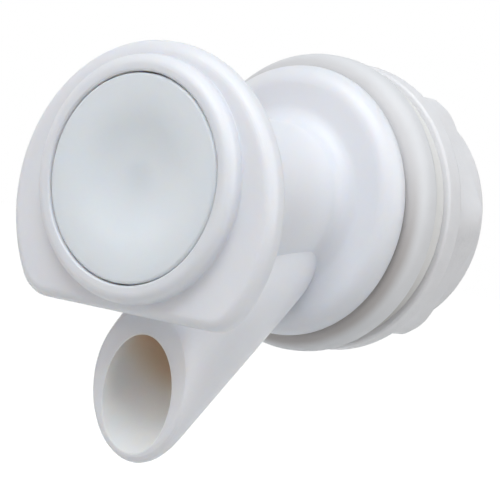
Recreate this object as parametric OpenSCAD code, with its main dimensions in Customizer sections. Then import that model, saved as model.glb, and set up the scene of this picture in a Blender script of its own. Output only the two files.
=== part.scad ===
// Push-button dispenser tap for the wall of a drinks cooler or dispenser.
// The barrel's axis is Y: the button faces -Y, the threaded tail leaves through the wall along +Y, +Z is up.
// The origin is on the barrel's axis, in the plane where the flange seats. Sizes are in millimetres.

/* [Push button] */
// Diameter of the push button
button_d = 31.7; // [28:0.1:33]
// Travel of the button from rest to fully pressed
button_travel = 6; // [3:0.5:6]
// Depth of the finger dish in the button's face
dish_depth = 1.9; // [0.5:0.1:2.4]
// Thickness of the button's skirt
skirt_wall = 1.6; // [1:0.1:2.5]

/* [Finger plate and bezel] */
// Diameter of the plate's round head
plate_d = 50.2; // [48:0.2:56]
// Distance of that round's centre below the barrel's axis
plate_drop = 3.95; // [3:0.05:5]
// Distance of the plate's straight foot below the barrel's axis
plate_foot = 20.3; // [20:0.1:23]
// Radius of the plate's two lower corners
plate_corner_r = 6; // [4:0.5:7]
// Thickness of the plate
plate_t = 4; // [3.6:0.1:6]
// Width of the raised bezel round the button
bezel_w = 2.7; // [2.2:0.1:3.6]
// Height of the bezel above the plate
bezel_h = 2.7; // [2.2:0.1:3.4]

/* [Barrel and flange] */
// Distance from the flange's seat to the bezel's crest
reach = 41.6; // [40:0.1:46]
// Outer diameter of the barrel
barrel_d = 24; // [23:0.2:26]
// Outer diameter of the flange
flange_d = 42.8; // [40:0.2:46]
// Thickness of the flange
flange_t = 4; // [4:0.1:6]
// Radius of the hollow sweep from the barrel into the flange
sweep_r = 3; // [2.4:0.1:5]

/* [Spout] */
// Outer diameter of the spout
spout_d = 19.2; // [18:0.1:20]
// Diameter of the spout's bore
spout_bore_d = 13.3; // [9:0.1:14]
// Slope of the spout below the horizontal, in degrees
spout_slope = 43.5; // [42:0.5:46]
// Distance of the spout's mouth behind the bezel's crest
mouth_back = 9.7; // [9:0.1:12]
// Distance of the mouth's centre below the barrel's axis
mouth_drop = 31.9; // [30:0.1:34]
// Distance of the bore's centre below the mouth's centre
bore_offset = 0.5; // [0:0.1:1]
// Diameter of the port between the spout's bore and the water way
spout_port_d = 10.4; // [7:0.1:11]

/* [Threaded tail] */
// Root diameter of the tail's thread
tail_d = 21; // [20.4:0.1:21.4]
// Length of the tail behind the flange's seat
tail_len = 33.5; // [32:0.5:36]
// Diameter that clears the thread in the gaskets and the lock nut
thread_clear_d = 23; // [22.8:0.1:23.4]

/* [Lock nut] */
// Outer diameter of the nut's collar
nut_collar_d = 46.2; // [44:0.2:48]
// Thickness of the collar
nut_collar_t = 3.5; // [3:0.1:5]
// Outer diameter of the nut's round hub
nut_hub_d = 37.5; // [36:0.1:38]
// Length of the nut from its collar's face to its rear
nut_len = 16.5; // [14.5:0.1:18]
// Length of the nut's grip from the collar's face
grip_len = 12.8; // [10:0.1:13.5]
// Number of rounded corners of the grip
grip_corners = 6; // [5:1:8]
// Distance of a corner's crown from the nut's axis
crown_reach = 21.35; // [20.5:0.05:22.4]
// Radius of a corner's crown
crown_r = 5.6; // [3:0.1:7]
// Turn of the nut at rest, in degrees
nut_turn = 2.5; // [0:0.5:59]

/* [Gaskets] */
// Outer diameter of the outer gasket
outer_gasket_d = 47.4; // [45:0.2:50]
// Thickness of the outer gasket
outer_gasket_t = 5.2; // [4.6:0.1:6]
// Outer diameter of the inner gasket
inner_gasket_d = 44.4; // [42:0.2:47]
// Thickness of the inner gasket
inner_gasket_t = 3.8; // [2.5:0.1:5]

/* [Valve] */
// Diameter of the valve stem
stem_d = 6; // [5.6:0.1:6.4]
// Diameter of the water way inside barrel and tail
water_way_d = 16; // [15:0.1:16.4]
// Diameter of the opening in the valve seat
seat_d = 12.6; // [11:0.1:13]
// Diameter of the rubber valve plug
plug_d = 15.4; // [14.5:0.1:16.4]
// Thickness of the valve plug behind the seat
plug_t = 3; // [2.5:0.1:3.5]

/* [Return spring] */
// Diameter of the spring's wire
wire_d = 1; // [0.8:0.1:1.1]
// Mean diameter of the spring's coils
coil_d = 11.6; // [11.2:0.1:12]
// Number of turns of the spring
coil_turns = 7; // [5:1:8]

/* [Hidden] */
$fn = 96;

// Colours of the mouldings, rubbers and metal.
gloss_white = "#f0f2f4";
satin_white = "#e9ebee";
cream_rubber = "#ece8e0";
grey_rubber = "#8d8f8e";
steel = "#b9bcc0";

// A small overlap that joins shapes which would otherwise only touch, and the run of a cut beyond a shape.
lap = 0.05;
through = 1;

// Cup for the button, and the stations along the barrel, all measured from the flange's seat.
cup_play = 0.25;
cup_bore_r = button_d / 2 + cup_play;
cup_wall = 1.6;
cup_floor_t = 1.4;
button_sink = 0.15;
button_skirt_len = 5.4;
press_play = 0.65;
crest_y = -reach;
plate_face_y = crest_y + bezel_h;
plate_back_y = plate_face_y + plate_t;
button_rim_y = crest_y + button_sink;
cup_floor_y = button_rim_y + button_skirt_len + button_travel + press_play;
cup_back_y = cup_floor_y + cup_floor_t;
cup_cone_len = 6;
well_r = 7.5;
well_depth = 8;
well_floor_y = cup_floor_y + well_depth;

// Edges of the plate and the bezel.
plate_front_edge_r = 1.8;
plate_back_edge_r = 1.5;
edge_steps = 8;
bezel_r = cup_bore_r + bezel_w;
bezel_round = 1.6;
bezel_inner_round = 0.35;
bezel_fillet = 0.3;

// Barrel, flange and tail.
barrel_r = barrel_d / 2;
flange_face_y = -flange_t;
flange_r = flange_d / 2;
rim_round = 3;
seat_step_r = 20.2;
seat_step_t = 0.75;
tail_r = tail_d / 2;
clear_r = thread_clear_d / 2;

// Spout. Its axis passes through the centre of its mouth.
spout_r = spout_d / 2;
mouth_y = crest_y + mouth_back;
lip_len = 3.6;
lip_side = 0.8;
lip_foot = 4.8;
spout_root_y = flange_face_y + 2;

// Stem gland and water way.
shank_r = stem_d / 2;
stem_play = 0.06;
stem_clearance = 0.4;
gland_r = 4.6;
gland_depth = 1.9;
guide_len = 4.9;
gland_floor_y = well_floor_y + gland_depth;
water_start_y = gland_floor_y + guide_len;
water_way_r = water_way_d / 2;
seat_r = seat_d / 2;
seat_t = 2.5;
seat_bevel = 0.7;

// Button.
button_r = button_d / 2;
button_edge_r = 0.45;
button_face_t = 1.6;
dish_r = 14.2;
dish_bowl_share = 0.6;
dish_facets = 400;
boss_r = 4.4;
boss_len = 3.5;
button_inner_y = button_rim_y + dish_depth + button_face_t;
boss_back_y = button_inner_y + boss_len;
socket_r = 2.3;
socket_depth = 4.2;

// Stem, from its spigot in the button to its barb behind the plug.
spigot_play = 0.02;
spigot_gap = 0.3;
rib_t = 1.8;
ribs_start_y = water_start_y + 1;
nose_len = 1.2;
nose_r = seat_r - 0.5;
ribs_end_y = tail_len - seat_t - 2;
neck_r = 1.8;
ring_t = 0.8;
ring_r = 4.2;
barb_r = 2.3;
barb_tip_r = 1.3;
barb_len = 2;

// Spring washer and O-ring under the return spring.
washer_t = 0.8;
washer_r = well_r - 0.2;
washer_hole_r = shank_r + 0.15;
o_ring_wire_r = (gland_r - shank_r) / 2 - 0.03;

// Plug, gaskets and lock nut.
plug_edge = 0.8;
nose_taper = 0.6;
outer_gasket_front_r = 3.1;
outer_gasket_back_r = 1;
inner_gasket_edge_r = 0.5;
collar_edge_r = 0.5;
hub_edge_r = 0.8;
grip_edge_r = 1.4;
pocket_in_r = clear_r + 2.6;
pocket_wall = 2.2;
pocket_depth = 9;
web_t = 2.2;

// Return spring between washer and button.
wire_r = wire_d / 2;
coil_r = coil_d / 2;
spring_front_y = button_inner_y;
spring_back_y = well_floor_y - washer_t;
closed_turn_rise = 0.98;
spring_facets = 8;
spring_steps = 24;

// Points of an arc about [cx, cy], from angle a0 to a1.
function arc(cx, cy, r, a0, a1, steps) =
    [for (i = [0:steps]) let (a = a0 + (a1 - a0) * i / steps) [cx + r * cos(a), cy + r * sin(a)]];

// Turns a section drawn as [radius, station] round the barrel's axis.
module revolve() {
    rotate([-90, 0, 0]) rotate_extrude() children();
}

// A round bar on the barrel's axis from station y0 to y1.
module rod(r, y0, y1) {
    translate([0, y0, 0]) rotate([-90, 0, 0]) cylinder(r = r, h = y1 - y0);
}

// A rectangle of a section, from radius 0 to r and from station y0 to y1.
module span(r, y0, y1) {
    translate([0, y0]) square([r, y1 - y0]);
}

// Outline of the finger plate: a round head cut off by a straight foot with rounded corners.
module plate_outline(inset) {
    corner_r = plate_corner_r - inset;
    corner_z = plate_corner_r - plate_foot;
    corner_x = sqrt(pow(plate_d / 2 - plate_corner_r, 2) - pow(corner_z + plate_drop, 2));
    turn = atan2(corner_z + plate_drop, corner_x);
    polygon(concat(
        arc(0, -plate_drop, plate_d / 2 - inset, turn, 180 - turn, 64),
        arc(-corner_x, corner_z, corner_r, 180 - turn, 270, 8),
        arc(corner_x, corner_z, corner_r, 270, 360 + turn, 8)
    ));
}

// One thin slice of the plate at a station.
module plate_slice(inset, y) {
    translate([0, y, 0]) rotate([90, 0, 0]) linear_extrude(lap, center = true) plate_outline(inset);
}

// Finger plate with a bull-nosed edge.
module finger_plate() {
    hull() {
        for (i = [0:edge_steps]) {
            a = 90 * i / edge_steps;
            plate_slice(plate_front_edge_r * (1 - cos(a)), plate_face_y + plate_front_edge_r * (1 - sin(a)));
            plate_slice(plate_back_edge_r * (1 - cos(a)), plate_back_y - plate_back_edge_r * (1 - sin(a)));
        }
    }
}

// One thin upright slice of the sloping spout, an ellipse drawn in at its sides and its foot, at a station.
module spout_slice(side, foot, y) {
    z = (y - mouth_y) * tan(spout_slope) - mouth_drop;
    translate([0, y, z + (foot - side) / 2])
        rotate([90, 0, 0])
            linear_extrude(lap, center = true)
                scale([spout_r - side, spout_r / cos(spout_slope) - (foot + side) / 2])
                    circle(r = 1, $fn = 72);
}

// Outside of the spout: a sloping tube with an upright mouth whose lip rolls under at the foot.
module spout_skin() {
    hull() {
        for (i = [0:edge_steps]) {
            a = 90 * i / edge_steps;
            spout_slice(lip_side * (1 - cos(a)), lip_foot * (1 - cos(a)), mouth_y + lip_len * (1 - sin(a)));
        }
        spout_slice(0, 0, spout_root_y);
    }
}

// Bore of the spout, from in front of its mouth to a shoulder under the stem,
// and a narrower port up to the water way.
module spout_bore() {
    centre_drop = mouth_drop + bore_offset;
    bore_ahead = 12;
    shoulder_drop = shank_r + stem_clearance + spout_bore_d / 2 * cos(spout_slope);
    bore_rise = (centre_drop - shoulder_drop) / sin(spout_slope);
    port_rise = centre_drop / sin(spout_slope);
    translate([0, mouth_y, -centre_drop])
        rotate([spout_slope - 90, 0, 0]) {
            translate([0, 0, -bore_ahead]) cylinder(d = spout_bore_d, h = bore_ahead + bore_rise);
            cylinder(d = spout_port_d, h = port_rise);
        }
}

// Section of the bezel: rounded crest, upright side and a small fillet onto the plate.
module bezel_section() {
    span(bezel_r, crest_y + bezel_round, plate_back_y - through);
    span(bezel_r + bezel_fillet, plate_face_y, plate_face_y + through);
    span(bezel_r - bezel_round, crest_y, plate_face_y);
    translate([bezel_r - bezel_round, crest_y + bezel_round]) circle(r = bezel_round);
    difference() {
        translate([bezel_r - lap, plate_face_y - bezel_fillet])
            square([bezel_fillet + lap, bezel_fillet + lap]);
        translate([bezel_r + bezel_fillet, plate_face_y - bezel_fillet]) circle(r = bezel_fillet);
    }
}

// Section of cup, barrel, hollow sweep, flange and tail.
module barrel_section() {
    span(cup_bore_r + cup_wall, plate_back_y - 2 * through, cup_back_y);
    polygon([
        [0, cup_back_y - lap], [cup_bore_r + cup_wall, cup_back_y - lap],
        [cup_bore_r + cup_wall, cup_back_y],
        [barrel_r, cup_back_y + cup_cone_len], [0, cup_back_y + cup_cone_len]
    ]);
    span(barrel_r, cup_back_y, 0);
    difference() {
        translate([barrel_r - lap, flange_face_y - sweep_r]) square([sweep_r + lap, sweep_r + lap]);
        translate([barrel_r + sweep_r, flange_face_y - sweep_r]) circle(r = sweep_r);
    }
    span(seat_step_r, flange_face_y + rim_round, 0);
    span(flange_r - rim_round, flange_face_y, -seat_step_t);
    span(flange_r, flange_face_y + rim_round, -seat_step_t);
    intersection() {
        translate([flange_r - rim_round, flange_face_y + rim_round]) circle(r = rim_round);
        translate([flange_r - rim_round - lap, flange_face_y]) square([rim_round + lap, rim_round + lap]);
    }
    span(tail_r, -lap, tail_len);
}

// Cup for the button, with a rounded brim.
module cup_bore() {
    revolve() {
        span(cup_bore_r, crest_y - through, cup_floor_y);
        difference() {
            span(cup_bore_r + bezel_inner_round, crest_y - through, crest_y + bezel_inner_round);
            translate([cup_bore_r + bezel_inner_round, crest_y + bezel_inner_round])
                circle(r = bezel_inner_round);
        }
    }
}

// Everything that is hollow inside the body: cup, spring well, gland, stem guide, water way and seat.
module body_cavity() {
    cup_bore();
    rod(well_r, cup_floor_y - lap, well_floor_y);
    rod(gland_r, well_floor_y - lap, gland_floor_y);
    rod(shank_r + stem_play, gland_floor_y - lap, water_start_y + lap);
    rod(water_way_r, water_start_y, tail_len - seat_t);
    rod(seat_r, tail_len - seat_t - lap, tail_len + through);
    revolve()
        polygon([
            [0, tail_len - seat_bevel], [seat_r, tail_len - seat_bevel], [seat_r + seat_bevel, tail_len],
            [seat_r + seat_bevel, tail_len + through], [0, tail_len + through]
        ]);
    spout_bore();
}

// Body: plate, bezel, cup, barrel, spout, flange and tail in one moulding.
module body() {
    color(gloss_white)
        difference() {
            union() {
                finger_plate();
                spout_skin();
                revolve() {
                    bezel_section();
                    barrel_section();
                }
            }
            body_cavity();
        }
}

// Section of the hollow in the button's face: a bowl that turns out onto the flat rim in one even curve.
module dish_section() {
    span_r = (dish_r * dish_r + dish_depth * dish_depth) / (2 * dish_depth);
    bowl_r = dish_bowl_share * span_r;
    lip_r = span_r - bowl_r;
    turn_r = dish_bowl_share * dish_r;
    translate([0, button_rim_y + dish_depth - bowl_r]) circle(r = bowl_r, $fn = dish_facets);
    difference() {
        translate([turn_r, button_rim_y - through]) square([dish_r - turn_r, dish_depth + through]);
        translate([dish_r, button_rim_y + lip_r]) circle(r = lip_r, $fn = dish_facets);
    }
}

// Section of the button without its dish: a cap with a skirt and a boss in its middle.
module button_section() {
    skirt_back_y = button_rim_y + button_skirt_len;
    difference() {
        union() {
            span(button_r - button_edge_r, button_rim_y, skirt_back_y);
            span(button_r, button_rim_y + button_edge_r, skirt_back_y);
            translate([button_r - button_edge_r, button_rim_y + button_edge_r]) circle(r = button_edge_r);
        }
        span(button_r - skirt_wall, button_inner_y, skirt_back_y + through);
    }
    span(boss_r, button_inner_y - lap, boss_back_y);
}

// Push button: a dished cap with a skirt and a boss that takes the stem.
module push_button() {
    color(gloss_white)
        difference() {
            revolve()
                difference() {
                    button_section();
                    dish_section();
                }
            rod(socket_r, boss_back_y - socket_depth, boss_back_y + through);
        }
}

// Valve stem: spigot, round shank, four ribs in the water way, collar, neck and barb.
module valve_stem() {
    plug_back_y = tail_len + plug_t;
    ring_back_y = plug_back_y + ring_t;
    color(gloss_white) {
        rod(socket_r - spigot_play, boss_back_y - socket_depth + spigot_gap, boss_back_y + lap);
        rod(shank_r, boss_back_y, ribs_start_y);
        intersection() {
            rod(shank_r, ribs_start_y - lap, ribs_end_y + lap);
            for (turn = [0, 90])
                rotate([0, turn, 0])
                    translate([-rib_t / 2, ribs_start_y - through, -stem_d])
                        cube([rib_t, ribs_end_y - ribs_start_y + 2 * through, 2 * stem_d]);
        }
        rod(shank_r, ribs_end_y, tail_len - nose_len);
        rod(neck_r, tail_len - nose_len - lap, ring_back_y + 2 * lap);
        translate([0, ring_back_y + lap, 0])
            rotate([-90, 0, 0])
                cylinder(r1 = barb_r, r2 = barb_tip_r, h = barb_len);
    }
}

// Centre line of the return spring at a share t of its length, with two closed end turns.
function coil_rise(t) =
    let (
        dead = 1 / coil_turns, flat = wire_d * closed_turn_rise,
        low = wire_r, high = spring_back_y - spring_front_y - wire_r
    )
    t < dead ? low + flat * t / dead :
    t > 1 - dead ? high - flat * (1 - t) / dead :
    low + flat + (high - low - 2 * flat) * (t - dead) / (1 - 2 * dead);

// A ring of points round the spring's wire at a share t of its length.
function coil_ring(t) =
    let (turn = 360 * coil_turns * t)
    [for (k = [0:spring_facets - 1])
        let (a = 360 * k / spring_facets, r = coil_r + wire_r * cos(a))
        [r * cos(turn), spring_front_y + coil_rise(t) + wire_r * sin(a), r * sin(turn)]];

// Return spring, a round wire wound round the boss of the button.
module return_spring() {
    rings = coil_turns * spring_steps;
    points = [for (i = [0:rings]) each coil_ring(i / rings)];
    sides = [
        for (i = [0:rings - 1], k = [0:spring_facets - 1])
            let (a = i * spring_facets + k, b = i * spring_facets + (k + 1) % spring_facets)
            [a, a + spring_facets, b + spring_facets, b]
    ];
    start_cap = [for (k = [0:spring_facets - 1]) k];
    end_cap = [for (k = [spring_facets - 1:-1:0]) rings * spring_facets + k];
    color(steel) polyhedron(points, concat(sides, [start_cap, end_cap]), convexity = 10);
}

// Washer that carries the return spring and holds the O-ring in its gland.
module spring_washer() {
    color(steel)
        difference() {
            rod(washer_r, well_floor_y - washer_t, well_floor_y);
            rod(washer_hole_r, well_floor_y - washer_t - through, well_floor_y + through);
        }
}

// O-ring that seals the stem.
module stem_o_ring() {
    color(grey_rubber)
        revolve()
            translate([(gland_r + shank_r) / 2, gland_floor_y - o_ring_wire_r])
                circle(r = o_ring_wire_r, $fn = 48);
}

// Rubber valve plug: a disc behind the seat with a tapered nose inside it.
module valve_plug() {
    color(grey_rubber)
        difference() {
            revolve()
                polygon([
                    [0, tail_len - nose_len], [nose_r - nose_taper, tail_len - nose_len], [nose_r, tail_len],
                    [plug_d / 2, tail_len], [plug_d / 2, tail_len + plug_t - plug_edge],
                    [plug_d / 2 - plug_edge, tail_len + plug_t], [0, tail_len + plug_t]
                ]);
            rod(neck_r + spigot_play, tail_len - nose_len - through, tail_len + plug_t + through);
        }
}

// Push-on ring that holds the plug on the stem.
module plug_retaining_ring() {
    color(steel)
        difference() {
            rod(ring_r, tail_len + plug_t, tail_len + plug_t + ring_t);
            rod(neck_r + spigot_play, tail_len + plug_t - through, tail_len + plug_t + ring_t + through);
        }
}

// Section of a ring with rounded rims, as [radius, station].
module ring_section(r, y0, y1, front_r, back_r) {
    span(r - front_r, y0, y1 - back_r);
    span(r - back_r, y0 + front_r, y1);
    span(r, y0 + front_r, y1 - back_r);
    translate([r - back_r, y1 - back_r]) circle(r = back_r);
    intersection() {
        translate([r - front_r, y0 + front_r]) circle(r = front_r);
        span(r + through, y0, y0 + front_r);
    }
}

// Outer gasket, between the flange and the outside of the wall.
module outer_gasket() {
    color(cream_rubber)
        difference() {
            revolve()
                ring_section(
                    outer_gasket_d / 2, 0, outer_gasket_t, outer_gasket_front_r, outer_gasket_back_r
                );
            rod(clear_r, -through, outer_gasket_t + through);
        }
}

// Inner gasket, between the inside of the wall and the lock nut.
module inner_gasket() {
    y0 = outer_gasket_t;
    y1 = y0 + inner_gasket_t;
    color(cream_rubber)
        difference() {
            revolve() ring_section(inner_gasket_d / 2, y0, y1, inner_gasket_edge_r, inner_gasket_edge_r);
            rod(clear_r, y0 - through, y1 + through);
        }
}

// Outline of the nut's grip: flats that run over into rounded corners.
module grip_outline() {
    crown_centre = crown_reach - crown_r;
    half_step = 180 / grip_corners;
    polygon([
        for (i = [0:grip_corners - 1], side = [-1, 1])
            let (a = 2 * half_step * i, b = a + side * half_step)
            [crown_centre * cos(a) + crown_r * cos(b), crown_centre * sin(a) + crown_r * sin(b)]
    ]);
    for (i = [0:grip_corners - 1])
        rotate(2 * half_step * i) translate([crown_centre, 0]) circle(r = crown_r);
}

// Grip of the nut, from its collar to a rounded rear edge.
module nut_grip(y0) {
    back_y = y0 + grip_len;
    intersection() {
        rotate([0, -nut_turn, 0])
            translate([0, back_y, 0])
                rotate([90, 0, 0])
                    linear_extrude(grip_len - collar_edge_r) grip_outline();
        revolve() {
            span(crown_reach + through, y0, back_y - grip_edge_r);
            span(crown_reach - grip_edge_r, y0, back_y);
            translate([crown_reach - grip_edge_r, back_y - grip_edge_r]) circle(r = grip_edge_r);
        }
    }
}

// Lock nut: a round collar, a grip with rounded corners, a round hub, and a rear pocket crossed by webs.
module lock_nut() {
    y0 = outer_gasket_t + inner_gasket_t;
    back_y = y0 + nut_len;
    collar_r = nut_collar_d / 2;
    hub_r = nut_hub_d / 2;
    pocket_out_r = hub_r - pocket_wall;
    pocket_y = back_y - pocket_depth;
    color(satin_white)
        difference() {
            union() {
                revolve() {
                    ring_section(collar_r, y0, y0 + nut_collar_t, collar_edge_r, collar_edge_r);
                    ring_section(hub_r, y0, back_y, hub_edge_r, hub_edge_r);
                }
                nut_grip(y0);
            }
            rod(clear_r, y0 - through, back_y + through);
            difference() {
                rod(pocket_out_r, pocket_y, back_y + through);
                rod(pocket_in_r, pocket_y - through, back_y + 2 * through);
                for (i = [0:grip_corners - 1])
                    rotate([0, -nut_turn - 360 * i / grip_corners, 0])
                        translate([0, pocket_y - through, -web_t / 2])
                            cube([pocket_out_r + through, nut_len, web_t]);
            }
        }
}

body();
push_button();
valve_stem();
return_spring();
spring_washer();
stem_o_ring();
valve_plug();
plug_retaining_ring();
outer_gasket();
inner_gasket();
lock_nut();
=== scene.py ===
import math
import bpy
import bmesh
from mathutils import Matrix, Vector


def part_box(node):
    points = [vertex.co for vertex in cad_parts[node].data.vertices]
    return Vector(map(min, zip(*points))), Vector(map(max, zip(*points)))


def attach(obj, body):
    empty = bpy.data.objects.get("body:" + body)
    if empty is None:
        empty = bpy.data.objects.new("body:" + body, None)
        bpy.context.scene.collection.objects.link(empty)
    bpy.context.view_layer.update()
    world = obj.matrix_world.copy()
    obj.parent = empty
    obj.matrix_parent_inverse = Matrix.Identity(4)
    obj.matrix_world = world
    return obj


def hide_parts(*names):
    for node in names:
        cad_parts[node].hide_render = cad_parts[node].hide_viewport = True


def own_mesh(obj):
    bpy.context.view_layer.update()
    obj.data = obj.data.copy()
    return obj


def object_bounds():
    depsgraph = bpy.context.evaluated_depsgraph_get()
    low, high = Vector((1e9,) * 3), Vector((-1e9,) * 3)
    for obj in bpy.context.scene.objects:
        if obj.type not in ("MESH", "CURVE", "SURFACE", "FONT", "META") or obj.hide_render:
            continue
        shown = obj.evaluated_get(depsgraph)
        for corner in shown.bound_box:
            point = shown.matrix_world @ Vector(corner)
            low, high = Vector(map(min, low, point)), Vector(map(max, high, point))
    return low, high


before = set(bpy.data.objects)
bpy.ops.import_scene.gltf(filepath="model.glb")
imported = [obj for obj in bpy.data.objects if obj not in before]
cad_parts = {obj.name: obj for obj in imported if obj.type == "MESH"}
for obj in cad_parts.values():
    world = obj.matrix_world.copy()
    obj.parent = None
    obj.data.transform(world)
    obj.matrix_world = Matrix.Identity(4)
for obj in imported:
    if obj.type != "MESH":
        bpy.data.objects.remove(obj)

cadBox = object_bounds()
mm = 0.001  # lengths in the dictionaries are in mm and angles in degrees, unless a note says otherwise

# A Mix node's sockets share their names, so they are taken by number
vectorA, vectorB, mixedVector = 4, 5, 1
colourA, colourB, mixedColour = 6, 7, 2
noiseLow, noiseHigh = 0.3, 0.7  # nearly all of a noise's values lie between these


# Colours and nodes

def linearColour(hexText):
    channels = [int(hexText[i:i + 2], 16) / 255 for i in (1, 3, 5)]
    return tuple(c / 12.92 if c <= 0.04045 else ((c + 0.055) / 1.055) ** 2.4 for c in channels) + (1.0,)


def addNode(tree, kind, settings=None, links=None):
    # a name or number of an input sets that socket, and any other name sets a property of the node
    node = tree.nodes.new(kind)
    for name, value in (settings or {}).items():
        if isinstance(name, int) or name in node.inputs:
            node.inputs[name].default_value = value
        else:
            setattr(node, name, value)
    for name, source in (links or {}).items():
        tree.links.new(source, node.inputs[name])
    return node


def distanceAcross(tree, vector, first, second):
    # how far a place lies from the line that stands square to the two named axes
    axes = addNode(tree, "ShaderNodeSeparateXYZ", {}, {"Vector": vector})
    across = addNode(tree, "ShaderNodeCombineXYZ", {}, {"X": axes.outputs[first], "Y": axes.outputs[second]})
    length = addNode(tree, "ShaderNodeVectorMath", {"operation": "LENGTH"}, {0: across.outputs["Vector"]})
    return length.outputs["Value"], axes


def newMaterial(name):
    material = bpy.data.materials.new(name)
    material.use_nodes = True
    material.node_tree.nodes.clear()
    return material, material.node_tree


# Moulded plastics and rubbers share one build: a tint that drifts slowly through the wall,
# a gloss that is uneven where the melt cooled, and the tool's own grain as bump.
# The real grain is finer than a tenth of a millimetre, so it is drawn coarser, or it wouldn't show.

def mouldedMaterial(name, look):
    material, tree = newMaterial(name)
    place = addNode(tree, "ShaderNodeTexCoord").outputs["Object"]
    drift = addNode(tree, "ShaderNodeTexNoise", {
        "Scale": 1 / (look["driftSize"] * mm), "Detail": 2.0,
    }, {"Vector": place})
    tint = addNode(tree, "ShaderNodeMix", {
        "data_type": "RGBA",
        colourA: linearColour(look["colour"]), colourB: linearColour(look["otherColour"]),
    }, {"Factor": drift.outputs["Fac"]})
    sheen = addNode(tree, "ShaderNodeMapRange", {
        "From Min": noiseLow, "From Max": noiseHigh,
        "To Min": look["roughness"] - look["roughnessPlay"],
        "To Max": look["roughness"] + look["roughnessPlay"],
    }, {"Value": drift.outputs["Fac"]})
    grain = addNode(tree, "ShaderNodeTexNoise", {
        "Scale": 1 / (look["grainSize"] * mm), "Detail": 3.0, "Roughness": 0.6,
    }, {"Vector": place})
    bump = addNode(tree, "ShaderNodeBump", {
        "Strength": look["grainStrength"], "Distance": look["grainDepth"] * mm,
    }, {"Height": grain.outputs["Fac"]})
    colour = tint.outputs[mixedColour]
    # painted light in the spout's bore and painted shade round the gaskets, where a look asks for them
    if "paintedBoreLight" in look:
        colour = paintedBoreLightTint(tree, place, colour, look["paintedBoreLight"])
    if "paintedCreviceShade" in look:
        colour = paintedShadeTint(tree, place, colour, look["paintedCreviceShade"])
    if "gatePad" in look:
        tree.links.new(gatePadNormal(tree, place, look["gatePad"]), bump.inputs["Normal"])
    shader = addNode(tree, "ShaderNodeBsdfPrincipled", {
        "IOR": look["ior"],
        "Subsurface Weight": look["translucence"], "Subsurface Scale": look["scatterDepth"] * mm,
        "Subsurface Radius": look["scatterShares"],
    }, {"Base Color": colour, "Roughness": sheen.outputs["Result"], "Normal": bump.outputs["Normal"]})
    addNode(tree, "ShaderNodeOutputMaterial", {}, {"Surface": shader.outputs["BSDF"]})
    return material


def paintedBoreLightTint(tree, place, outside, core):
    # painted light in the spout's bore: the wall is painted lighter near the lip and warmer and lighter deep
    # inside, standing in for the light that comes through the plastic
    along = addNode(tree, "ShaderNodeMapping", {
        "vector_type": "TEXTURE", "Location": tuple(c * mm for c in core["mouth"]),
        "Rotation": (math.radians(core["slope"] - 90), 0.0, 0.0),
    }, {"Vector": place})
    radius, axes = distanceAcross(tree, along.outputs["Vector"], "X", "Y")
    inside = addNode(tree, "ShaderNodeMapRange", {
        "From Min": core["radius"] * mm, "From Max": (core["radius"] - core["fade"]) * mm,
    }, {"Value": radius})
    near = addNode(tree, "ShaderNodeMapRange", {
        "From Min": core["length"] * mm, "From Max": (core["length"] - core["fade"]) * mm,
    }, {"Value": axes.outputs["Z"]})
    both = addNode(tree, "ShaderNodeMath", {"operation": "MULTIPLY"}, {
        0: inside.outputs["Result"], 1: near.outputs["Result"],
    })
    depth = addNode(tree, "ShaderNodeMapRange", {
        "interpolation_type": "SMOOTHSTEP",
        "From Min": core["warmFrom"] * mm, "From Max": core["warmFull"] * mm,
    }, {"Value": axes.outputs["Z"]})
    wall = addNode(tree, "ShaderNodeMix", {
        "data_type": "RGBA",
        colourA: linearColour(core["paintedLipLight"]), colourB: linearColour(core["paintedDeepLight"]),
    }, {"Factor": depth.outputs["Result"]})
    tint = addNode(tree, "ShaderNodeMix", {"data_type": "RGBA"}, {
        "Factor": both.outputs["Value"], colourA: outside, colourB: wall.outputs[mixedColour],
    })
    return tint.outputs[mixedColour]


def paintedShadeTint(tree, place, unshaded, shadePaint):
    # painted shade in the crevices round the gaskets, darkest next to the flange and towards the bottom
    radius, axes = distanceAcross(tree, place, "X", "Z")
    inward = addNode(tree, "ShaderNodeMapRange", {
        "interpolation_type": "SMOOTHSTEP",
        "From Min": shadePaint["outerRadius"] * mm, "From Max": shadePaint["fullRadius"] * mm,
    }, {"Value": radius})
    front = addNode(tree, "ShaderNodeMapRange", {
        "interpolation_type": "SMOOTHSTEP",
        "From Min": shadePaint["depth"] * mm, "From Max": shadePaint["fullDepth"] * mm,
    }, {"Value": axes.outputs["Y"]})
    low = addNode(tree, "ShaderNodeMapRange", {
        "interpolation_type": "SMOOTHSTEP",
        "From Min": shadePaint["thinZ"] * mm, "From Max": shadePaint["thickZ"] * mm,
        "To Min": shadePaint["thinShare"], "To Max": 1.0,
    }, {"Value": axes.outputs["Z"]})
    share = low.outputs["Result"]
    for mask in (inward, front):
        share = addNode(tree, "ShaderNodeMath", {"operation": "MULTIPLY"}, {
            0: share, 1: mask.outputs["Result"],
        }).outputs["Value"]
    tint = addNode(tree, "ShaderNodeMix", {
        "data_type": "RGBA", colourB: linearColour(shadePaint["colour"]),
    }, {"Factor": share, colourA: unshaded})
    return tint.outputs[mixedColour]


def gatePadNormal(tree, place, pad):
    # the small flat where the melt entered, in the middle of the face
    radius, axes = distanceAcross(tree, place, "X", "Z")
    onPad = addNode(tree, "ShaderNodeMath", {"operation": "LESS_THAN", 1: pad["radius"] * mm}, {0: radius})
    surface = addNode(tree, "ShaderNodeNewGeometry")
    normal = addNode(tree, "ShaderNodeMix", {"data_type": "VECTOR"}, {
        "Factor": onPad.outputs["Value"],
        vectorA: surface.outputs["Normal"], vectorB: surface.outputs["True Normal"],
    })
    return normal.outputs[mixedVector]


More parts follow.
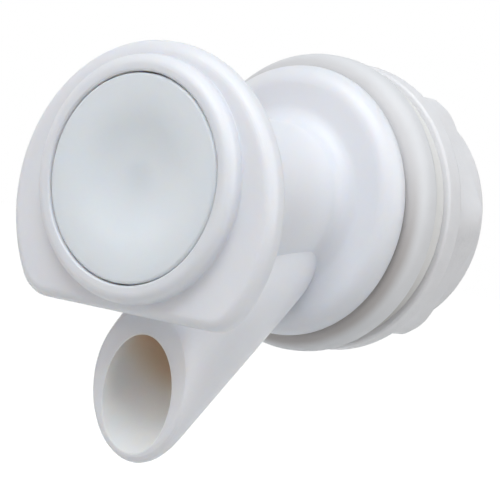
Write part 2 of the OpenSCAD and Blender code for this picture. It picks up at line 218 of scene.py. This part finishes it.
glossAbsLook = {  # ABS from a polished tool: cool white, soft broad highlights
    "colour": "#ECEDF2", "otherColour": "#E9EAEF", "driftSize": 9.0,
    "roughness": 0.42, "roughnessPlay": 0.03,
    "grainSize": 0.6, "grainDepth": 0.01, "grainStrength": 0.25,
    "ior": 1.53, "translucence": 0.8, "scatterDepth": 3.0, "scatterShares": (1.0, 0.85, 0.72),
    # painted light: the bore's wall is painted lighter at the lip and warm and light deep inside
    "paintedBoreLight": {"mouth": (0.0, -31.9, -32.4), "slope": 43.5, "radius": 6.85, "fade": 0.15, "length": 42.0,
                 "paintedLipLight": "#F9FDFF", "paintedDeepLight": "#FCE6D3", "warmFrom": 3.0, "warmFull": 13.0},
}
satinAbsLook = {  # ABS from a spark-eroded tool: the button's fine dull grain
    "colour": "#EDF2F7", "otherColour": "#EAEFF4", "driftSize": 7.0,
    "roughness": 0.46, "roughnessPlay": 0.03,
    "grainSize": 0.35, "grainDepth": 0.02, "grainStrength": 0.5,
    "ior": 1.53, "translucence": 0.8, "scatterDepth": 2.5, "scatterShares": (1.0, 0.85, 0.72),
    "gatePad": {"radius": 1.15},
}
nutPolypropyleneLook = {  # polypropylene from a blasted tool: grey-white, dull, slightly grainy
    "colour": "#EEEDEF", "otherColour": "#E8E7E9", "driftSize": 3.0,
    "roughness": 0.5, "roughnessPlay": 0.06,
    "grainSize": 0.7, "grainDepth": 0.08, "grainStrength": 0.7,
    "ior": 1.49, "translucence": 0.15, "scatterDepth": 1.2, "scatterShares": (1.0, 0.9, 0.8),
}
outerGasketLook = {  # white EPDM rubber: matte with a bloom
    "colour": "#E8E8EA", "otherColour": "#E3E3E5", "driftSize": 4.0,
    "roughness": 0.6, "roughnessPlay": 0.05,
    "grainSize": 0.5, "grainDepth": 0.03, "grainStrength": 0.4,
    "ior": 1.5, "translucence": 0.05, "scatterDepth": 1.2, "scatterShares": (1.0, 0.9, 0.8),
    # painted shade on the front face next to the flange, darker towards the bottom
    "paintedCreviceShade": {"outerRadius": 23.5, "fullRadius": 22.2, "depth": 2.4, "fullDepth": 1.2,
                    "thinZ": 14.0, "thickZ": -8.0, "thinShare": 0.3, "colour": "#BDB8B6"},
}
innerGasketLook = {  # the same rubber, yellowed a little, with painted shade low down
    "colour": "#ECEBE9", "otherColour": "#E6E5E3", "driftSize": 4.0,
    "roughness": 0.62, "roughnessPlay": 0.05,
    "grainSize": 0.5, "grainDepth": 0.03, "grainStrength": 0.4,
    "ior": 1.5, "translucence": 0.05, "scatterDepth": 1.2, "scatterShares": (1.0, 0.9, 0.8),
    # painted shade: the whole gasket darker towards the bottom
    "paintedCreviceShade": {"outerRadius": 26.0, "fullRadius": 25.0, "depth": 16.0, "fullDepth": 15.0,
                    "thinZ": -3.0, "thickZ": -19.0, "thinShare": 0.0, "colour": "#BFBCB9"},
}
stemAcetalLook = {  # acetal: waxy opaque white
    "colour": "#E6E5E1", "otherColour": "#E0DFDB", "driftSize": 6.0,
    "roughness": 0.38, "roughnessPlay": 0.03,
    "grainSize": 0.8, "grainDepth": 0.01, "grainStrength": 0.3,
    "ior": 1.48, "translucence": 0.1, "scatterDepth": 1.2, "scatterShares": (1.0, 0.9, 0.8),
}
plugSiliconeLook = {  # silicone: milky and dull
    "colour": "#D8D6D0", "otherColour": "#CFCDC7", "driftSize": 4.0,
    "roughness": 0.55, "roughnessPlay": 0.05,
    "grainSize": 0.6, "grainDepth": 0.02, "grainStrength": 0.4,
    "ior": 1.41, "translucence": 0.2, "scatterDepth": 1.2, "scatterShares": (1.0, 0.9, 0.8),
}
sealRubberLook = {  # nitrile O-ring: black with a faint grey bloom
    "colour": "#1E1E1F", "otherColour": "#2A2A2B", "driftSize": 1.5,
    "roughness": 0.5, "roughnessPlay": 0.06,
    "grainSize": 0.3, "grainDepth": 0.01, "grainStrength": 0.4,
    "ior": 1.52, "translucence": 0.0, "scatterDepth": 1.2, "scatterShares": (1.0, 0.9, 0.8),
}


def drawnSteel(name, look):
    # fine lines along the drawing direction break up the gloss; they too are drawn coarser than they are
    material, tree = newMaterial(name)
    place = addNode(tree, "ShaderNodeTexCoord").outputs["Object"]
    stretch = addNode(tree, "ShaderNodeMapping", {"Scale": look["lineStretch"]}, {"Vector": place})
    lines = addNode(tree, "ShaderNodeTexNoise", {
        "Scale": 1 / (look["lineSize"] * mm), "Detail": 2.0,
    }, {"Vector": stretch.outputs["Vector"]})
    tint = addNode(tree, "ShaderNodeMix", {
        "data_type": "RGBA",
        colourA: linearColour(look["colour"]), colourB: linearColour(look["otherColour"]),
    }, {"Factor": lines.outputs["Fac"]})
    gloss = addNode(tree, "ShaderNodeMapRange", {
        "From Min": noiseLow, "From Max": noiseHigh,
        "To Min": look["roughness"] - look["roughnessPlay"],
        "To Max": look["roughness"] + look["roughnessPlay"],
    }, {"Value": lines.outputs["Fac"]})
    bump = addNode(tree, "ShaderNodeBump", {
        "Strength": look["lineStrength"], "Distance": look["lineDepth"] * mm,
    }, {"Height": lines.outputs["Fac"]})
    shader = addNode(tree, "ShaderNodeBsdfPrincipled", {"Metallic": 1.0}, {
        "Base Color": tint.outputs[mixedColour], "Roughness": gloss.outputs["Result"],
        "Normal": bump.outputs["Normal"],
    })
    addNode(tree, "ShaderNodeOutputMaterial", {}, {"Surface": shader.outputs["BSDF"]})
    return material


stainlessLook = {  # 302 stainless, drawn wire and stamped strip: a bright grey with a soft streaky gloss
    "colour": "#C4C3BF", "otherColour": "#B6B5B1",
    "roughness": 0.28, "roughnessPlay": 0.06,
    "lineSize": 0.5, "lineStretch": (1.0, 0.2, 1.0), "lineStrength": 0.2, "lineDepth": 0.01,
}

glossAbs = mouldedMaterial("polishedAbs", glossAbsLook)
satinAbs = mouldedMaterial("sparkErodedAbs", satinAbsLook)
nutPolypropylene = mouldedMaterial("blastedPolypropylene", nutPolypropyleneLook)
outerRubber = mouldedMaterial("whiteEpdmRubber", outerGasketLook)
innerRubber = mouldedMaterial("agedEpdmRubber", innerGasketLook)
stemAcetal = mouldedMaterial("mouldedAcetal", stemAcetalLook)
plugSilicone = mouldedMaterial("mouldedSilicone", plugSiliconeLook)
sealRubber = mouldedMaterial("nitrileRubber", sealRubberLook)
stainless = drawnSteel("drawnStainlessSteel", stainlessLook)

nodeMaterials = {
    "body": glossAbs,
    "push_button": satinAbs,
    "valve_stem": stemAcetal,
    "return_spring": stainless,
    "spring_washer": stainless,
    "stem_o_ring": sealRubber,
    "valve_plug": plugSilicone,
    "plug_retaining_ring": stainless,
    "outer_gasket": outerRubber,
    "inner_gasket": innerRubber,
    "lock_nut": nutPolypropylene,
}
for nodeName, material in nodeMaterials.items():  # on every slot, since a node may have more than one
    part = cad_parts[nodeName]
    if not part.material_slots:
        part.data.materials.append(material)
    for materialSlot in part.material_slots:
        materialSlot.material = material
print("materials set")


# Meshes

def newObject(name, mesh):
    data = bpy.data.meshes.new(name)
    mesh.to_mesh(data)
    mesh.free()
    made = bpy.data.objects.new(name, data)
    bpy.context.scene.collection.objects.link(made)
    return made


def newSolid(name, mesh):
    bmesh.ops.recalc_face_normals(mesh, faces=mesh.faces)
    if mesh.calc_volume(signed=True) < 0:  # the spin can turn a shape inside out
        bmesh.ops.reverse_faces(mesh, faces=mesh.faces)
    return newObject(name, mesh)


# Screw threads, right-handed, with the pitch of the lock nut's coupled turn

def threadRidge(name, spec):
    mesh = bmesh.new()
    foot, crest = spec["footRadius"] * mm, spec["crestRadius"] * mm
    halfFoot, halfCrest = spec["footWidth"] * mm / 2, spec["crestWidth"] * mm / 2
    start, pitch = spec["startY"] * mm, spec["pitch"] * mm
    turns = (spec["endY"] - spec["startY"]) / spec["pitch"]
    corners = [(foot, -halfFoot), (crest, -halfCrest), (crest, halfCrest), (foot, halfFoot)]
    profile = mesh.faces.new([mesh.verts.new((0, start + y, r)) for r, y in corners])
    bmesh.ops.spin(
        mesh, geom=[profile, *profile.edges, *profile.verts], cent=(0, 0, 0), axis=(0, 1, 0),
        dvec=(0, pitch / spec["stepsPerTurn"], 0), angle=turns * math.tau,
        steps=round(turns * spec["stepsPerTurn"]), use_duplicate=False,
    )
    for vert in mesh.verts:  # both ends run out smoothly into the wall
        radius = math.hypot(vert.co.x, vert.co.z)
        swept = (math.atan2(vert.co.x, vert.co.z) / math.tau) % 1.0
        along = round((vert.co.y - start) / pitch - swept) + swept  # in turns from the start
        share = max(0.0, min(1.0, along / spec["runOut"], (turns - along) / spec["runOut"]))
        height = (radius - foot) * (share * share * (3 - 2 * share))
        vert.co.x *= (foot + height) / radius
        vert.co.z *= (foot + height) / radius
    return newSolid(name, mesh)


tailThreadSpec = {  # run-outs are in turns
    "footRadius": 10.4, "crestRadius": 11.35, "footWidth": 1.6, "crestWidth": 0.75,
    "startY": 1.6, "endY": 30.35, "pitch": 2.5, "stepsPerTurn": 72, "runOut": 0.5,
}
nutThreadSpec = {
    "footRadius": 11.6, "crestRadius": 10.65, "footWidth": 1.6, "crestWidth": 0.75,
    "startY": 10.35, "endY": 24.1, "pitch": 2.5, "stepsPerTurn": 72, "runOut": 0.4,
}
tailThread = threadRidge("tailThread", tailThreadSpec)
tailThread.data.materials.append(glossAbs)
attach(tailThread, "tap_body")

nutThread = threadRidge("nutThread", nutThreadSpec)
nutThread.data.materials.append(nutPolypropylene)
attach(nutThread, "nut")
print("threads cut")


# Return spring with closed end turns, drawn at rest between the ends of the CAD spring, which it replaces;
# the real one shortens onto its washer as the button goes in

def coilSpring(name, spec, frontY, backY):
    mesh = bmesh.new()
    wire, turns = spec["wireRadius"] * mm, spec["turns"]
    run = backY - frontY - 2 * wire
    steps = turns * spec["stepsPerTurn"]
    ring = bmesh.ops.create_circle(mesh, cap_ends=True, segments=spec["sides"], radius=wire)
    bmesh.ops.translate(mesh, verts=ring["verts"], vec=(spec["coilRadius"] * mm, frontY + wire, 0))
    bmesh.ops.spin(
        mesh, geom=[*mesh.faces, *mesh.edges, *mesh.verts], cent=(0, 0, 0), axis=(0, -1, 0),
        dvec=(0, run / steps, 0), angle=turns * math.tau, steps=steps, use_duplicate=False,
    )
    endTurn, closedRise = 1 / turns, 2 * wire * spec["closedShare"]
    for vert in mesh.verts:  # the first and last turn close up, the turns between open out
        swept = (math.atan2(vert.co.z, vert.co.x) / math.tau) % 1.0
        evenRise = vert.co.y - frontY - wire
        along = (round(evenRise / run * turns - swept) + swept) / turns  # share of the wire's length
        fromEnd = min(along, 1 - along)
        rise = closedRise * min(fromEnd, endTurn) / endTurn
        rise += (run / 2 - closedRise) * max(0.0, fromEnd - endTurn) / (0.5 - endTurn)
        vert.co.y += (rise if along < 0.5 else run - rise) - run * along
    for face in mesh.faces:  # the two cut ends stay flat
        face.smooth = len(face.verts) == 4
    return newSolid(name, mesh)


springSpec = {  # a closed turn rises by this share of the wire's thickness
    "wireRadius": 0.5, "coilRadius": 5.8, "turns": 7, "closedShare": 0.98,
    "sides": 12, "stepsPerTurn": 40,
}
springFront, springBack = (corner[1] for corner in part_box("return_spring"))
springCoil = coilSpring("springCoil", springSpec, springFront, springBack)
springCoil.data.materials.append(stainless)
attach(springCoil, "tap_body")
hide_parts("return_spring")
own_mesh(springCoil)
print("spring wound")


# Studio: a pale floor well below the tap, a white room and four soft boxes

studio = {
    "floorBelow": 62.0, "floorSize": 4000.0, "floorColour": "#D9D9D8",
    "floorGlow": 0.85, "shadowReach": 250.0, "whiteFrom": 420.0,  # the floor looks white past its shadow
    "roomColour": "#F4F6FA", "roomStrength": 0.01,
    "boxTarget": (0.0, -10.0, 0.0), "boxDistance": 1000.0,
}
white = (1.0, 1.0, 1.0, 1.0)


def outward(azimuth, elevation):
    # unit vector away from the tap; azimuth 0 is in front of the button and 90 to the viewer's right
    azimuth, elevation = math.radians(azimuth), math.radians(elevation)
    return Vector((
        math.sin(azimuth) * math.cos(elevation), -math.cos(azimuth) * math.cos(elevation),
        math.sin(elevation),
    ))


def whiteForViewer(tree):
    # 1 where the camera, a reflection or a refraction looks, 0 for the light that falls on the tap
    path = addNode(tree, "ShaderNodeLightPath")
    seen = addNode(tree, "ShaderNodeMath", {"operation": "MAXIMUM"}, {
        0: path.outputs["Is Camera Ray"], 1: path.outputs["Is Glossy Ray"],
    })
    through = addNode(tree, "ShaderNodeMath", {"operation": "MAXIMUM"}, {
        0: seen.outputs["Value"], 1: path.outputs["Is Transmission Ray"],
    })
    return through.outputs["Value"]


def makeRoom():
    world = bpy.data.worlds.new("room")
    bpy.context.scene.world = world
    world.use_nodes = True
    tree = world.node_tree
    tree.nodes.clear()
    fill = addNode(tree, "ShaderNodeBackground", {
        "Color": linearColour(studio["roomColour"]), "Strength": studio["roomStrength"],
    })
    backdrop = addNode(tree, "ShaderNodeBackground", {"Color": white, "Strength": 1.0})
    mix = addNode(tree, "ShaderNodeMixShader", {}, {
        "Fac": whiteForViewer(tree), 1: fill.outputs[0], 2: backdrop.outputs[0],
    })
    addNode(tree, "ShaderNodeOutputWorld", {}, {"Surface": mix.outputs[0]})


def makeFloor():
    material, tree = newMaterial("paintedFloor")
    paint = addNode(tree, "ShaderNodeBsdfDiffuse", {"Color": linearColour(studio["floorColour"])})
    place = addNode(tree, "ShaderNodeTexCoord").outputs["Object"]
    away, axes = distanceAcross(tree, place, "X", "Y")
    strength = addNode(tree, "ShaderNodeMapRange", {
        "interpolation_type": "SMOOTHSTEP",
        "From Min": studio["shadowReach"] * mm, "From Max": studio["whiteFrom"] * mm,
        "To Min": studio["floorGlow"], "To Max": 1.0,
    }, {"Value": away})
    glow = addNode(tree, "ShaderNodeEmission", {"Color": white}, {"Strength": strength.outputs["Result"]})
    glowing = addNode(tree, "ShaderNodeAddShader", {}, {0: paint.outputs[0], 1: glow.outputs[0]})
    topSide = addNode(tree, "ShaderNodeMixShader", {}, {
        "Fac": whiteForViewer(tree), 1: paint.outputs[0], 2: glowing.outputs[0],
    })
    clear = addNode(tree, "ShaderNodeBsdfTransparent")  # so that the tap can be seen from below
    oneSided = addNode(tree, "ShaderNodeMixShader", {}, {
        "Fac": addNode(tree, "ShaderNodeNewGeometry").outputs["Backfacing"],
        1: topSide.outputs[0], 2: clear.outputs[0],
    })
    addNode(tree, "ShaderNodeOutputMaterial", {}, {"Surface": oneSided.outputs[0]})
    mesh = bmesh.new()
    bmesh.ops.create_grid(mesh, x_segments=1, y_segments=1, size=studio["floorSize"] * mm / 2)
    bmesh.ops.translate(mesh, verts=mesh.verts, vec=(0, 0, cadBox[0][2] - studio["floorBelow"] * mm))
    floor = newObject("floor", mesh)
    floor.data.materials.append(material)


softBoxes = {  # width and height in metres, power in watts
    "overhead": {
        "azimuth": 12, "elevation": 60, "width": 0.75, "height": 0.5, "power": 7.1, "colour": "#F2FAFF",
    },
    "front": {
        "azimuth": 2, "elevation": 32, "width": 1.4, "height": 0.5, "power": 2.65, "colour": "#FFF5F0",
    },
    "right": {
        "azimuth": 98, "elevation": 24, "width": 0.8, "height": 0.9, "power": 4.45, "colour": "#FFFFFF",
    },
    "left": {
        "azimuth": -60, "elevation": 4, "width": 0.5, "height": 0.5, "power": 0.9, "colour": "#FFF3EF",
    },
}


def makeSoftBox(name, box):
    data = bpy.data.lights.new(name, "AREA")
    data.shape = "RECTANGLE"
    data.size, data.size_y = box["width"], box["height"]
    data.energy = box["power"]
    data.color = linearColour(box["colour"])[:3]
    lamp = bpy.data.objects.new(name, data)
    away = outward(box["azimuth"], box["elevation"])
    spot = (Vector(studio["boxTarget"]) + away * studio["boxDistance"]) * mm
    lamp.matrix_world = Matrix.Translation(spot) @ (-away).to_track_quat("-Z", "Y").to_matrix().to_4x4()
    bpy.context.scene.collection.objects.link(lamp)


makeRoom()
makeFloor()
for boxName, box in softBoxes.items():
    makeSoftBox(boxName, box)
print("studio lit")


# Camera, a little above the barrel's axis and rolled

cameraView = {
    "aim": (15.5, -30.2, -7.7), "distance": 521.0,
    "azimuth": 37.37, "elevation": 2.13, "roll": 9.40, "lens": 252.0, "sensor": 36.0,
}


def makeCamera(view):
    azimuth, roll = math.radians(view["azimuth"]), math.radians(view["roll"])
    back = outward(view["azimuth"], view["elevation"])
    level = Vector((math.cos(azimuth), math.sin(azimuth), 0.0))
    right = level * math.cos(roll) + back.cross(level) * math.sin(roll)
    turn = Matrix((right, back.cross(right), back)).transposed().to_4x4()
    data = bpy.data.cameras.new("tapCamera")
    data.lens = view["lens"]
    data.sensor_width = view["sensor"]
    data.clip_start = 10 * mm
    camera = bpy.data.objects.new("tapCamera", data)
    camera.matrix_world = Matrix.Translation((Vector(view["aim"]) + back * view["distance"]) * mm) @ turn
    bpy.context.scene.collection.objects.link(camera)
    bpy.context.scene.camera = camera


makeCamera(cameraView)
bpy.context.scene.view_settings.view_transform = "Standard"
print("camera placed")
